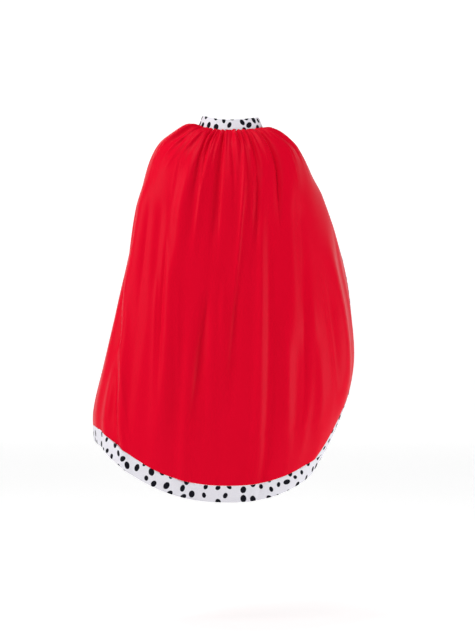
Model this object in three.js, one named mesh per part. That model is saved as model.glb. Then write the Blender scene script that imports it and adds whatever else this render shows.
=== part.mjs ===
// A child's king cape as it is worn: red cloth gathered to a spotted plush neckband, edged with the
// same plush.
// Millimetres, +Z up. The front faces -Y and the wearer's left is +X.
// The origin is the centre of the neck, level with the neck seam at the back, where the wearer holds
// the cape up.
import * as THREE from "three";

// Cloth and seams.
const clothThick = 1.2;
const plushThick = 2.0;
const seamGap = 0.3;
const bandWidth = 34;
const bandSteps = 6;
const hemDown = 812;

// Neckband: a stand collar whose ends lap at the throat, held by two fastening pads.
const collarHeight = 23;
const collarBelowSeam = 0.8;
const collarLean = 9;
const collarThick = 2.4;
const collarColumns = 84;
const collarRows = 3;
const lapAngle = 12;
const lapEaseAngle = 46;
const lapFadeDown = 70;
const padAngle = 9;
const padThick = 1.0;
const padInset = 4;
const padColumns = 6;

// Gathers: each takes four columns of the cloth's grid.
const gatherCount = 34;
const columnsPerGather = 4;
const gatherHeightAtSeam = 1.2;
const gatherHeight = 3.4;
const gatherOpensBy = 24;
const gatherRun = 95;

// How square the rings are, and how early the hem rises towards the sides and the fronts.
const squareness = 0.86;
const riseLeft = 2.1;
const riseRight = 1.85;
const riseFront = 1.5;

// One row for each ring of the worn cloth, from the neck seam to the hem edge. down is the cloth's
// length above the ring at the centre of the back. back, left and right are the ring's reach from the
// neck, and midLeft and midRight are where along Y it is widest. frontLeft and frontRight are how far
// the full curve runs forward from there, and endLeft and endRight are the angles from the back at
// which the front edges end it. The z columns are heights.
const rings = [
  { down: 0, back: 60, left: 67, right: 74, midLeft: 0, midRight: 0, frontLeft: 58,
    frontRight: 58, endLeft: 176, endRight: 176, zBack: 0, zLeft: 12, zRight: 9,
    zFrontLeft: -22, zFrontRight: -22 },
  { down: 25, back: 78, left: 90, right: 96, midLeft: 0, midRight: 0, frontLeft: 76,
    frontRight: 76, endLeft: 168, endRight: 167, zBack: -17, zLeft: 17, zRight: 7,
    zFrontLeft: -40, zFrontRight: -40 },
  { down: 55, back: 94, left: 119, right: 121, midLeft: 0, midRight: 0, frontLeft: 90,
    frontRight: 94, endLeft: 162, endRight: 157, zBack: -42, zLeft: 0, zRight: -6,
    zFrontLeft: -66, zFrontRight: -62 },
  { down: 95, back: 106, left: 151, right: 148, midLeft: 0, midRight: -8, frontLeft: 98,
    frontRight: 116, endLeft: 158, endRight: 144, zBack: -80, zLeft: -27, zRight: -32,
    zFrontLeft: -104, zFrontRight: -89 },
  { down: 145, back: 114, left: 174, right: 173, midLeft: 0, midRight: -26, frontLeft: 106,
    frontRight: 150, endLeft: 155, endRight: 130, zBack: -129, zLeft: -72, zRight: -76,
    zFrontLeft: -152, zFrontRight: -121 },
  { down: 220, back: 120, left: 192, right: 203, midLeft: -2, midRight: -62, frontLeft: 114,
    frontRight: 180, endLeft: 153, endRight: 109, zBack: -203, zLeft: -144, zRight: -151,
    zFrontLeft: -223, zFrontRight: -172 },
  { down: 330, back: 126, left: 213, right: 243, midLeft: -6, midRight: -88, frontLeft: 120,
    frontRight: 190, endLeft: 152, endRight: 100, zBack: -312, zLeft: -248, zRight: -262,
    zFrontLeft: -328, zFrontRight: -262 },
  { down: 460, back: 132, left: 240, right: 268, midLeft: -12, midRight: -62, frontLeft: 122,
    frontRight: 200, endLeft: 151, endRight: 101, zBack: -440, zLeft: -375, zRight: -392,
    zFrontLeft: -452, zFrontRight: -388 },
  { down: 600, back: 140, left: 269, right: 267, midLeft: -18, midRight: -36, frontLeft: 122,
    frontRight: 190, endLeft: 150, endRight: 98, zBack: -578, zLeft: -504, zRight: -530,
    zFrontLeft: -580, zFrontRight: -522 },
  { down: 720, back: 147, left: 290, right: 227, midLeft: -22, midRight: -18, frontLeft: 120,
    frontRight: 180, endLeft: 150, endRight: 82, zBack: -695, zLeft: -601, zRight: -648,
    zFrontLeft: -680, zFrontRight: -640 },
  { down: 812, back: 152, left: 288, right: 189, midLeft: -24, midRight: -6, frontLeft: 118,
    frontRight: 170, endLeft: 150, endRight: 66, zBack: -784, zLeft: -667, zRight: -721,
    zFrontLeft: -742, zFrontRight: -706 },
];

// One row for each soft fold. at and to are its place across the cloth at its upper and lower end: 0
// is the centre of the back and 1 the left front band, and the right half is measured alike, below 0.
// from and till are how far down it runs, wide its width and out its height, a trough where that is
// below 0. The first ones are on the back, the last ones on the sides and fronts.
const folds = [
  { at: 0.045, to: 0.125, from: -30, till: 600, wide: 9, out: -6.5 },
  { at: 0.15, to: 0.21, from: 0, till: 210, wide: 8, out: -3.5 },
  { at: 0.31, to: 0.29, from: 150, till: 640, wide: 17, out: -4.5 },
  { at: -0.083, to: -0.019, from: 150, till: 500, wide: 9, out: -2.5 },
  { at: -0.21, to: -0.128, from: 0, till: 310, wide: 8, out: -4 },
  { at: -0.212, to: -0.12, from: 190, till: 1000, wide: 10, out: -3.5 },
  { at: -0.36, to: -0.252, from: 0, till: 260, wide: 9, out: -4 },
  { at: -0.423, to: -0.363, from: 180, till: 430, wide: 18, out: -3.5 },
  { at: -0.327, to: -0.27, from: 440, till: 780, wide: 20, out: -4 },
  { at: 0.2, to: 0.33, from: 40, till: 330, wide: 15, out: 4.5 },
  { at: 0.32, to: 0.235, from: 230, till: 720, wide: 18, out: 5 },
  { at: 0.12, to: 0.19, from: 20, till: 350, wide: 9, out: 3 },
  { at: -0.119, to: -0.009, from: 30, till: 440, wide: 9, out: 3 },
  { at: -0.195, to: -0.08, from: 40, till: 1000, wide: 14, out: 4.5 },
  { at: -0.386, to: -0.26, from: 50, till: 640, wide: 18, out: 3.5 },
  { at: -0.412, to: -0.355, from: 320, till: 740, wide: 20, out: 4 },
  { at: 0.72, to: 0.5, from: 150, till: 520, wide: 15, out: 5 },
  { at: 0.56, to: 0.36, from: 330, till: 1000, wide: 15, out: 6.5 },
  { at: 0.43, to: 0.5, from: -20, till: 140, wide: 6, out: 3 },
  { at: 0.28, to: 0.42, from: 0, till: 150, wide: 6, out: 3 },
  { at: -0.5, to: -0.57, from: -10, till: 150, wide: 7, out: 3 },
  { at: 0.61, to: 0.59, from: 120, till: 1100, wide: 22, out: -6 },
  { at: 0.74, to: 0.72, from: 260, till: 1100, wide: 22, out: 6 },
  { at: 0.86, to: 0.84, from: 120, till: 1100, wide: 20, out: -8 },
  { at: 0.97, to: 0.97, from: 60, till: 1100, wide: 22, out: 6 },
  { at: -0.53, to: -0.5, from: 360, till: 700, wide: 22, out: -3 },
  { at: -0.62, to: -0.6, from: 270, till: 680, wide: 24, out: 4.5 },
  { at: -0.74, to: -0.72, from: 230, till: 600, wide: 22, out: -6 },
  { at: -0.9, to: -0.92, from: 170, till: 520, wide: 30, out: 5 },
];

const rad = THREE.MathUtils.degToRad;
const lerp = THREE.MathUtils.lerp;
const clamp = THREE.MathUtils.clamp;
const up = new THREE.Vector3(0, 0, 1);
const smooth = (t) => clamp(t, 0, 1) ** 2 * (3 - 2 * clamp(t, 0, 1));
const range = (n) => Array.from({ length: n }, (_, i) => i);

// The ring at any length down the cloth: each column of the table, read along a smooth curve through
// its rows.
function ringAt(down) {
  const last = rings.length - 2;
  let k = 0;
  while (k < last && rings[k + 1].down < down) k += 1;
  const [above, below] = [rings[k], rings[k + 1]];
  const [before, after] = [rings[Math.max(k - 1, 0)], rings[Math.min(k + 2, last + 1)]];
  const span = below.down - above.down;
  const t = (down - above.down) / span;
  const ring = { down };
  for (const name of Object.keys(above)) {
    if (name === "down") continue;
    const slopeAbove = ((below[name] - before[name]) / (below.down - before.down)) * span;
    const slopeBelow = ((after[name] - above[name]) / (after.down - above.down)) * span;
    ring[name] =
      above[name] * (1 + 2 * t) * (1 - t) ** 2 +
      below[name] * t * t * (3 - 2 * t) +
      slopeAbove * t * (1 - t) ** 2 -
      slopeBelow * t * t * (1 - t);
  }
  return ring;
}

// A point of a ring, by its angle from the back: positive towards the wearer's left.
function onRing(ring, angle) {
  const [onLeft, behind] = [angle >= 0, Math.abs(angle) <= 90];
  const across = Math.abs(Math.sin(rad(angle)));
  const along = Math.abs(Math.cos(rad(angle)));
  const mid = onLeft ? ring.midLeft : ring.midRight;
  const side = onLeft ? ring.left : -ring.right;
  const front = onLeft ? ring.frontLeft : ring.frontRight;
  const zSide = onLeft ? ring.zLeft : ring.zRight;
  const zFront = onLeft ? ring.zFrontLeft : ring.zFrontRight;
  const reach = behind ? ring.back - mid : -front;
  const riseBehind = onLeft ? riseLeft : riseRight;
  const rise = behind ? riseBehind : riseFront;
  return new THREE.Vector3(
    side * across ** squareness,
    mid + reach * along ** squareness,
    zSide + ((behind ? ring.zBack : zFront) - zSide) * along ** rise,
  );
}

// Where a front edge crosses a ring.
const edgePoint = (ring, sign) => onRing(ring, sign > 0 ? ring.endLeft : -ring.endRight);

// A front edge or a column may cross the rings at a slant: how far along the one a length square to
// the other reaches, for each millimetre of it.
const leastSine = 0.4;
function slantBetween(one, other) {
  const sine = one.clone().cross(other).length() / one.length() / other.length();
  return 1 / Math.max(sine, leastSine);
}
function edgeSlant(down, sign, tangent) {
  const step = 4;
  const lower = edgePoint(ringAt(Math.min(down + step, hemDown)), sign);
  const upper = edgePoint(ringAt(Math.max(down - step, 0)), sign);
  return slantBetween(lower.sub(upper), tangent);
}

// The angles along a ring with the cloth's length from the centre of the back to each, to the left or
// to the right.
const angleStep = 1.5;
const spreads = new Map();
function spread(down) {
  if (spreads.has(down)) return spreads.get(down);
  const ring = ringAt(down);
  const half = (sign, end) => {
    const steps = Math.ceil(end / angleStep);
    const points = [{ angle: 0, length: 0 }];
    let [before, last] = [null, onRing(ring, 0)];
    for (let i = 1; i <= steps; i += 1) {
      const angle = (sign * end * i) / steps;
      [before, last] = [last, onRing(ring, angle)];
      points.push({ angle, length: points[i - 1].length + last.distanceTo(before) });
    }
    return { points, length: points.at(-1).length, slant: edgeSlant(down, sign, last.sub(before)) };
  };
  const made = { ring, left: half(1, ring.endLeft), right: half(-1, ring.endRight) };
  spreads.set(down, made);
  return made;
}

const sideAt = (down, across) => (across > 0 ? spread(down).left : spread(down).right);

// The angle that a length along the ring from the centre of the back reaches, left positive.
function angleAt(down, along) {
  const { points } = sideAt(down, along);
  const length = Math.abs(along);
  let [low, high] = [0, points.length - 1];
  while (high - low > 1) {
    const middle = (low + high) >> 1;
    if (points[middle].length < length) low = middle;
    else high = middle;
  }
  const [a, b] = [points[low], points[high]];
  return lerp(a.angle, b.angle, (length - a.length) / (b.length - a.length));
}

// The smooth cloth, before its gathers and folds.
const smoothPoint = (down, along) => onRing(spread(down).ring, angleAt(down, along));

// Its directions along the ring and out of the cloth, taken over short steps that stay on it.
const shortStep = 3;
const onCloth = (down, along) =>
  clamp(along, shortStep - sideAt(down, -1).length, sideAt(down, 1).length - shortStep);
function alongRing(down, along) {
  const middle = onCloth(down, along);
  return smoothPoint(down, middle + shortStep).sub(smoothPoint(down, middle - shortStep));
}
function outwardAt(down, along) {
  const [upper, lower] = [Math.max(down - shortStep, 0), Math.min(down + shortStep, hemDown)];
  const above = smoothPoint(upper, onCloth(upper, along));
  const downwards = smoothPoint(lower, onCloth(lower, along)).sub(above);
  return alongRing(down, along).cross(downwards).normalize();
}

// Across the red cloth, gathers are counted from the right band. Their spacing is a little uneven.
function acrossAt(gather) {
  const even = -1 + (2 * gather) / gatherCount;
  const fade = 1 - even * even;
  return even + fade * (0.012 * Math.sin(9 * even + 1) + 0.006 * Math.sin(23 * even));
}

// How far the gathers lift the cloth. They are flat under the neckband, open below it, and fade at
// uneven lengths.
function gatherLift(down, gather) {
  const opened = lerp(gatherHeightAtSeam, gatherHeight, smooth(down / gatherOpensBy));
  const uneven = 1 + 0.28 * Math.sin(1.7 * gather) + 0.2 * Math.sin(0.83 * gather + 1);
  const run = gatherRun * (1 + 0.35 * Math.sin(2.3 * gather + 0.5));
  return opened * uneven * Math.exp(-((down / run) ** 2)) * Math.cos(2 * Math.PI * gather);
}

function foldLift(down, across) {
  const half = sideAt(down, 1).length;
  const place = (across * sideAt(down, across).length) / half;
  let lift = 0;
  for (const fold of folds) {
    const t = (down - fold.from) / (fold.till - fold.from);
    if (t <= 0 || t >= 1) continue;
    const centre = fold.at + (fold.to - fold.at) * t;
    const away = ((place - centre) * half) / fold.wide;
    lift += fold.out * smooth(4 * t) * smooth(2 * (1 - t)) * Math.exp(-away * away);
  }
  return lift;
}

// A column of the cloth's grid gives the length along the ring, its place across the red cloth and its
// gather.
const insideEdge = (down, across, inset) => {
  const side = sideAt(down, across);
  return side.length - inset * side.slant;
};
const bandColumn = (side, inset) => ({
  along: (down) => side * insideEdge(down, side, inset),
  across: side,
  gather: null,
});
const clothColumn = (gather) => {
  const across = acrossAt(gather);
  const along = (down) => across * insideEdge(down, across, bandWidth + seamGap);
  return { along, across, gather };
};

// Past the throat the left half eases outwards, so that its end laps over the right one. The shift is
// square to the neckband, which leans in as it rises, and it fades down the cloth.
const lapStep = collarThick + 2 * padThick + 3 * seamGap;
const leanAngle = Math.atan2(collarLean, collarHeight);
const level = (point) => new THREE.Vector3(point.x, point.y, 0).normalize();
const squareToNeckband = (point) =>
  level(point).multiplyScalar(Math.cos(leanAngle)).addScaledVector(up, Math.sin(leanAngle));
const lapShift = (angle) => lapStep * smooth((angle - 180 + lapEaseAngle) / (lapEaseAngle - lapAngle));

// The middle of the cloth's thickness, with gathers and folds. Along the neck seam they lift it
// straight up, so that its edge stays against the neckband.
function clothPoint(down, column) {
  const along = column.along(down);
  const gathers = column.gather === null ? 0 : gatherLift(down, column.gather);
  const lift = gathers + foldLift(down, column.across);
  const outward = up.clone().lerp(outwardAt(down, along), smooth(down / gatherOpensBy)).normalize();
  const point = smoothPoint(down, along);
  const lapped = lapShift(angleAt(down, along)) * (1 - smooth(down / lapFadeDown));
  return point.addScaledVector(squareToNeckband(point), lapped).addScaledVector(outward, lift);
}

// A point with the cloth's direction downwards there, so that pieces that meet at a seam share their
// slope.
function clothCell(down, column) {
  const step = 2;
  const upper = clothPoint(Math.max(down - step, 0), column);
  const lower = clothPoint(Math.min(down + step, hemDown), column);
  return { at: clothPoint(down, column), downwards: lower.sub(upper) };
}

// How far down a column lies a given width of cloth, square to the hem edge, above that edge.
function aboveHem(column, width) {
  const run = clothPoint(hemDown, column).sub(clothPoint(hemDown - width, column));
  const slant = slantBetween(run, alongRing(hemDown, column.along(hemDown)));
  return hemDown - (width * width * slant) / run.length();
}

// A closed wall on a grid of cells, rows running down and columns running from right to left, with
// half its thickness on each side of them. A wall whose top edge meets the neckband is cut upright
// there.
function wall(grid, thick, topUpright = false) {
  const [rows, columns] = [grid.length, grid[0].length];
  const at = (r, c) => grid[r][clamp(c, 0, columns - 1)].at;
  const positions = [];
  for (const side of [1, -1]) {
    for (let r = 0; r < rows; r += 1) {
      for (let c = 0; c < columns; c += 1) {
        const across = at(r, c + 1).clone().sub(at(r, c - 1));
        const out = topUpright && r === 0 ? up : across.cross(grid[r][c].downwards).normalize();
        positions.push(...at(r, c).clone().addScaledVector(out, (side * thick) / 2));
      }
    }
  }
  const inner = rows * columns;
  const index = [];
  const quad = (a, b, c, d) => index.push(a, c, b, a, d, c);
  for (let r = 0; r < rows - 1; r += 1) {
    for (let c = 0; c < columns - 1; c += 1) {
      const a = r * columns + c;
      quad(a, a + columns, a + columns + 1, a + 1);
      quad(inner + a, inner + a + 1, inner + a + columns + 1, inner + a + columns);
    }
  }
  const rim = [];
  for (let c = 0; c < columns; c += 1) rim.push(c);
  for (let r = 1; r < rows; r += 1) rim.push(r * columns + columns - 1);
  for (let c = columns - 2; c >= 0; c -= 1) rim.push((rows - 1) * columns + c);
  for (let r = rows - 2; r > 0; r -= 1) rim.push(r * columns);
  rim.forEach((a, i) => {
    const b = rim[(i + 1) % rim.length];
    quad(a, b, inner + b, inner + a);
  });
  const geometry = new THREE.BufferGeometry();
  geometry.setAttribute("position", new THREE.Float32BufferAttribute(positions, 3));
  geometry.setIndex(index);
  geometry.computeVertexNormals();
  return geometry;
}

const redCloth = new THREE.MeshStandardMaterial({ color: 0xd80a2c, roughness: 0.5, metalness: 0 });
const plush = new THREE.MeshStandardMaterial({ color: 0xe8e6ec, roughness: 0.9, metalness: 0 });
const padTape = new THREE.MeshStandardMaterial({ color: 0xf2f2f2, roughness: 0.8, metalness: 0 });

const cape = new THREE.Group();
function add(name, geometry, material) {
  const mesh = new THREE.Mesh(geometry, material);
  mesh.name = name;
  cape.add(mesh);
}

const redSteps = gatherCount * columnsPerGather;
const redColumns = range(redSteps + 1).map((i) => clothColumn(i / columnsPerGather));
const bandInsets = range(bandSteps + 1).map((i) => (bandWidth * i) / bandSteps);
const rightBand = bandInsets.map((inset) => bandColumn(-1, inset));
const leftBand = bandInsets.toReversed().map((inset) => bandColumn(1, inset));

// Rows lie closest under the neckband, where the gathers are.
const rowShares = [
  0, 0.012, 0.03, 0.055, 0.09, 0.135, 0.19, 0.26, 0.34, 0.43, 0.53, 0.63, 0.73, 0.83, 0.92, 1,
];

function hangingGrid(columns) {
  const ends = columns.map((column) => aboveHem(column, bandWidth + seamGap));
  return rowShares.map((share) => columns.map((column, i) => clothCell(share * ends[i], column)));
}

function hemGrid(columns) {
  const tops = columns.map((column) => aboveHem(column, bandWidth));
  return [0, 0.5, 1].map((share) =>
    columns.map((column, i) => clothCell(lerp(tops[i], hemDown, share), column)),
  );
}

add("cape_cloth", wall(hangingGrid(redColumns), clothThick, true), redCloth);
add("right_front_band", wall(hangingGrid(rightBand), plushThick, true), plush);
add("left_front_band", wall(hangingGrid(leftBand), plushThick, true), plush);
add("hem_band", wall(hemGrid([...rightBand, ...redColumns, ...leftBand]), plushThick), plush);

// The neckband's middle surface stands inside the cloth's upper edge, by its angle from the back and
// its height. An angle past the throat runs on round the other side. offset moves a point square to
// the neckband.
function neckbandPoint(angle, height, offset = 0) {
  const turned = Math.abs(angle) > 180 ? angle - Math.sign(angle) * 360 : angle;
  const point = onRing(ringAt(0), turned);
  const inside = collarThick / 2 / Math.cos(leanAngle) + seamGap + (collarLean * height) / collarHeight;
  const square = squareToNeckband(point);
  return point
    .addScaledVector(level(point), -inside)
    .addScaledVector(square, lapShift(angle) + offset)
    .addScaledVector(up, height);
}

// A grid of the neckband between two angles, or of what lies on it.
function neckbandGrid({ from, to, low, high, columns, rows, offset }) {
  return range(rows + 1).map((r) =>
    range(columns + 1).map((c) => {
      const angle = lerp(from, to, c / columns);
      const downwards = neckbandPoint(angle, low, offset).sub(neckbandPoint(angle, high, offset));
      return { at: neckbandPoint(angle, lerp(high, low, r / rows), offset), downwards };
    }),
  );
}

const lapEnd = 180 + lapAngle;
const wholeNeckband = {
  from: -lapEnd,
  to: lapEnd,
  low: -collarBelowSeam,
  high: collarHeight,
  columns: collarColumns,
  rows: collarRows,
};
add("neckband", wall(neckbandGrid(wholeNeckband), collarThick), plush);

// The loop pad is on the outer face of the right end, the hook pad on the inner face of the left one.
function fasteningPad(centre, side) {
  return neckbandGrid({
    from: centre - padAngle,
    to: centre + padAngle,
    low: padInset,
    high: collarHeight - padInset,
    columns: padColumns,
    rows: 1,
    offset: side * (collarThick / 2 + seamGap + padThick / 2),
  });
}
add("fastener_loop_pad", wall(fasteningPad(-180, 1), padThick), padTape);
add("fastener_hook_pad", wall(fasteningPad(180, -1), padThick), padTape);

export default cape;
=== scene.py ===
"""A child's king cape, as worn: red satin gathered to a spotted plush neckband and edged with plush.

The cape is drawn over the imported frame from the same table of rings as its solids, with finer
gathers, creases and materials. Lengths are in millimetres until a mesh is made.
"""
import math

import bpy
import numpy as np
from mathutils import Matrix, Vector


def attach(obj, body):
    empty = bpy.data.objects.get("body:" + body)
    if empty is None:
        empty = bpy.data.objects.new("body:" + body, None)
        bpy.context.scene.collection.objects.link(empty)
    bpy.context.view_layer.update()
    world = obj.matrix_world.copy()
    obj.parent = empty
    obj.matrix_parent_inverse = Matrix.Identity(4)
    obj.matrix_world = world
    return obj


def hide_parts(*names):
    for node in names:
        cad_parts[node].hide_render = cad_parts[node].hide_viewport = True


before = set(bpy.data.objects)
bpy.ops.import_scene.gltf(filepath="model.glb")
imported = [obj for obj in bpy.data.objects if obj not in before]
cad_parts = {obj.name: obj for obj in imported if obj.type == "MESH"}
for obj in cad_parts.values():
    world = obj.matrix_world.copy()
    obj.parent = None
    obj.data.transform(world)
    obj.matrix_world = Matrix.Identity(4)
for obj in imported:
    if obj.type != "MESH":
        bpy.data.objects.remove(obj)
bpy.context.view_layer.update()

MM = 0.001
HEM_DOWN = 812.0
BAND_WIDTH = 34.0
SEAM_GAP = 0.3
CLOTH_THICK = 0.6
BAND_THICK = 2.6

# The rings of the worn cloth, from the neck seam to the hem edge: the length down the cloth, the
# reach to the back and the sides, where on y each side is widest, the reach to the front from
# there, the angle in degrees of each end, and the heights.
RING_COLUMNS = (
    "down", "back", "left", "right", "mid_left", "mid_right", "front_left", "front_right",
    "end_left", "end_right", "z_back", "z_left", "z_right", "z_front_left", "z_front_right",
)
RINGS = np.array([
    (0, 60, 67, 74, 0, 0, 58, 58, 176, 176, 0, 12, 9, -22, -22),
    (25, 78, 90, 96, 0, 0, 76, 76, 168, 167, -17, 17, 7, -40, -40),
    (55, 94, 119, 121, 0, 0, 90, 94, 162, 157, -42, 0, -6, -66, -62),
    (95, 106, 151, 148, 0, -8, 98, 116, 158, 144, -80, -27, -32, -104, -89),
    (145, 114, 174, 173, 0, -26, 106, 150, 155, 130, -129, -72, -76, -152, -121),
    (220, 120, 192, 203, -2, -62, 114, 180, 153, 109, -203, -144, -151, -223, -172),
    (330, 126, 213, 243, -6, -88, 120, 190, 152, 100, -312, -248, -262, -328, -262),
    (460, 132, 240, 268, -12, -62, 122, 200, 151, 101, -440, -375, -392, -452, -388),
    (600, 140, 269, 267, -18, -36, 122, 190, 150, 98, -578, -504, -530, -580, -522),
    (720, 147, 290, 227, -22, -18, 120, 180, 150, 82, -695, -601, -648, -680, -640),
    (812, 152, 288, 189, -24, -6, 118, 170, 150, 66, -784, -667, -721, -742, -706),
], float)
SQUARENESS = 0.86
RISE_LEFT = 2.1
RISE_RIGHT = 1.85
RISE_FRONT = 1.5

# The soft folds that the solids have too: place at the upper and lower end, how far down each runs,
# its width and its height. Place 0 is the centre of the back and 1 the left front band, and the right
# half is measured alike, below 0.
FOLDS = (
    (0.045, 0.125, -30, 600, 9, -6.5), (0.15, 0.21, 0, 210, 8, -3.5),
    (0.31, 0.29, 150, 640, 17, -4.5), (-0.083, -0.019, 150, 500, 9, -2.5),
    (-0.21, -0.128, 0, 310, 8, -4), (-0.212, -0.12, 190, 1000, 10, -3.5),
    (-0.36, -0.252, 0, 260, 9, -4), (-0.423, -0.363, 180, 430, 18, -3.5),
    (-0.327, -0.27, 440, 780, 20, -4), (0.2, 0.33, 40, 330, 15, 4.5),
    (0.32, 0.235, 230, 720, 18, 5), (0.12, 0.19, 20, 350, 9, 3),
    (-0.119, -0.009, 30, 440, 9, 3), (-0.195, -0.08, 40, 1000, 14, 4.5),
    (-0.386, -0.26, 50, 640, 18, 3.5), (-0.412, -0.355, 320, 740, 20, 4),
    (0.72, 0.5, 150, 520, 15, 5), (0.56, 0.36, 330, 1000, 15, 6.5),
    (0.43, 0.5, -20, 140, 6, 3), (0.28, 0.42, 0, 150, 6, 3),
    (-0.5, -0.57, -10, 150, 7, 3), (0.61, 0.59, 120, 1100, 22, -6),
    (0.74, 0.72, 260, 1100, 22, 6), (0.86, 0.84, 120, 1100, 20, -8),
    (0.97, 0.97, 60, 1100, 22, 6), (-0.53, -0.5, 360, 700, 22, -3),
    (-0.62, -0.6, 270, 680, 24, 4.5), (-0.74, -0.72, 230, 600, 22, -6),
    (-0.9, -0.92, 170, 520, 30, 5),
)

# Gathers, as on the solids.
GATHER_COUNT = 34
GATHER_AT_SEAM = 1.2
GATHER_HEIGHT = 3.4
GATHER_OPENS_BY = 24.0
GATHER_RUN = 95.0

# Neckband, as on the solids.
COLLAR_HEIGHT = 23.0
COLLAR_BELOW_SEAM = 0.8
COLLAR_LEAN = 9.0
COLLAR_THICK = 2.4
LAP_ANGLE = 12.0
LAP_EASE_ANGLE = 46.0
LAP_FADE_DOWN = 70.0
PAD_THICK = 1.0
LAP_STEP = COLLAR_THICK + 2 * PAD_THICK + 3 * SEAM_GAP
LEAN_ANGLE = math.atan2(COLLAR_LEAN, COLLAR_HEIGHT)

UP = np.array([0.0, 0.0, 1.0])
LEAST_LENGTH = 1e-9


def smooth(t):
    t = np.clip(t, 0, 1)
    return t * t * (3 - 2 * t)


def unit(v):
    return v / np.maximum(np.linalg.norm(v, axis=-1, keepdims=True), LEAST_LENGTH)


# The cloth's shape, as on the solids.
def ring_at(down):
    """The ring table's columns at lengths down the cloth, on a smooth curve through its rows."""
    down = np.asarray(down, float)
    last = len(RINGS) - 2
    k = np.clip(np.searchsorted(RINGS[:, 0], down, side="left") - 1, 0, last)
    above, below = RINGS[k], RINGS[k + 1]
    before, after = RINGS[np.maximum(k - 1, 0)], RINGS[np.minimum(k + 2, last + 1)]
    span = (below[..., 0] - above[..., 0])[..., None]
    t = (down[..., None] - above[..., :1]) / span
    slope_above = (below - before) / (below[..., :1] - before[..., :1]) * span
    slope_below = (after - above) / (after[..., :1] - above[..., :1]) * span
    values = (above * (1 + 2 * t) * (1 - t) ** 2 + below * t * t * (3 - 2 * t)
              + slope_above * t * (1 - t) ** 2 - slope_below * t * t * (1 - t))
    return {name: values[..., i] for i, name in enumerate(RING_COLUMNS)}


def on_ring(ring, angle):
    """Points of rings, by their angle from the back, positive towards the wearer's left."""
    turn = np.radians(angle)
    on_left, behind = angle >= 0, np.abs(angle) <= 90
    sine, cosine = np.abs(np.sin(turn)), np.abs(np.cos(turn))
    mid = np.where(on_left, ring["mid_left"], ring["mid_right"])
    side = np.where(on_left, ring["left"], -ring["right"])
    front = np.where(on_left, ring["front_left"], ring["front_right"])
    z_side = np.where(on_left, ring["z_left"], ring["z_right"])
    z_front = np.where(on_left, ring["z_front_left"], ring["z_front_right"])
    reach = np.where(behind, ring["back"] - mid, -front)
    rise = np.where(behind, np.where(on_left, RISE_LEFT, RISE_RIGHT), RISE_FRONT)
    z_end = np.where(behind, ring["z_back"], z_front)
    x = side * sine ** SQUARENESS
    y = mid + reach * cosine ** SQUARENESS
    z = z_side + (z_end - z_side) * cosine ** rise
    return np.stack(np.broadcast_arrays(x, y, z), -1)


LEAST_SINE = 0.4


def slant_between(one, other):
    """How far along a slanting line a length square to the other one reaches, for each millimetre."""
    sine = np.linalg.norm(np.cross(unit(one), unit(other)), axis=-1)
    return 1 / np.maximum(sine, LEAST_SINE)


TABLE_STEP = 2.0
TABLE_DOWNS = np.arange(0, HEM_DOWN + TABLE_STEP / 2, TABLE_STEP)
TABLE_SHARES = 401
SIDE_POINTS = 241
EDGE_STEP = 4.0


def side_table(sign):
    """Half of every ring: its length, the front edge's slant, and the angle by share of length."""
    ring = ring_at(TABLE_DOWNS)
    end = ring["end_left" if sign > 0 else "end_right"]
    share = np.linspace(0, 1, SIDE_POINTS)
    angles = sign * end[:, None] * share
    wide = {name: values[:, None] for name, values in ring.items()}
    points = on_ring(wide, angles)
    steps = np.diff(points, axis=1)
    lengths = np.concatenate(
        [np.zeros((len(angles), 1)), np.cumsum(np.linalg.norm(steps, axis=2), 1)], 1)
    even = np.linspace(0, 1, TABLE_SHARES)
    by_share = np.stack([np.interp(even * n[-1], n, a) for n, a in zip(lengths, angles)])
    lower = edge_point(np.minimum(TABLE_DOWNS + EDGE_STEP, HEM_DOWN), sign)
    upper = edge_point(np.maximum(TABLE_DOWNS - EDGE_STEP, 0), sign)
    slant = slant_between(lower - upper, steps[:, -1])
    return {"length": lengths[:, -1], "slant": slant, "angle": by_share}


def edge_point(down, sign):
    ring = ring_at(down)
    return on_ring(ring, ring["end_left"] if sign > 0 else -ring["end_right"])


SIDES = {1: side_table(1), -1: side_table(-1)}


def side_value(name, down, across):
    """A column of the side tables at lengths down, for the half that across is on."""
    left = np.interp(down, TABLE_DOWNS, SIDES[1][name])
    right = np.interp(down, TABLE_DOWNS, SIDES[-1][name])
    return np.where(across > 0, left, right)


def angle_at(down, along):
    """The angle that a length along the ring from the centre of the back reaches."""
    row = np.clip(down / TABLE_STEP, 0, len(TABLE_DOWNS) - 1)
    i = np.minimum(row.astype(int), len(TABLE_DOWNS) - 2)
    column = np.abs(along) / side_value("length", down, along) * (TABLE_SHARES - 1)
    j = np.clip(column.astype(int), 0, TABLE_SHARES - 2)
    di, dj = row - i, column - j
    found = []
    for sign in (1, -1):
        table = SIDES[sign]["angle"]
        upper = table[i, j] * (1 - dj) + table[i, j + 1] * dj
        lower = table[i + 1, j] * (1 - dj) + table[i + 1, j + 1] * dj
        found.append(upper * (1 - di) + lower * di)
    return np.where(along > 0, found[0], found[1])


def smooth_point(down, along):
    return on_ring(ring_at(down), angle_at(down, along))


SHORT_STEP = 3.0


def on_cloth(down, along):
    """A length along the ring, kept a short step inside its ends."""
    low = SHORT_STEP - side_value("length", down, -1)
    return np.clip(along, low, side_value("length", down, 1) - SHORT_STEP)


def along_ring(down, along):
    middle = on_cloth(down, along)
    return smooth_point(down, middle + SHORT_STEP) - smooth_point(down, middle - SHORT_STEP)


def outward_at(down, along):
    upper = np.maximum(down - SHORT_STEP, 0)
    lower = np.minimum(down + SHORT_STEP, HEM_DOWN)
    above = smooth_point(upper, on_cloth(upper, along))
    downwards = smooth_point(lower, on_cloth(lower, along)) - above
    return unit(np.cross(along_ring(down, along), downwards))


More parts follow.
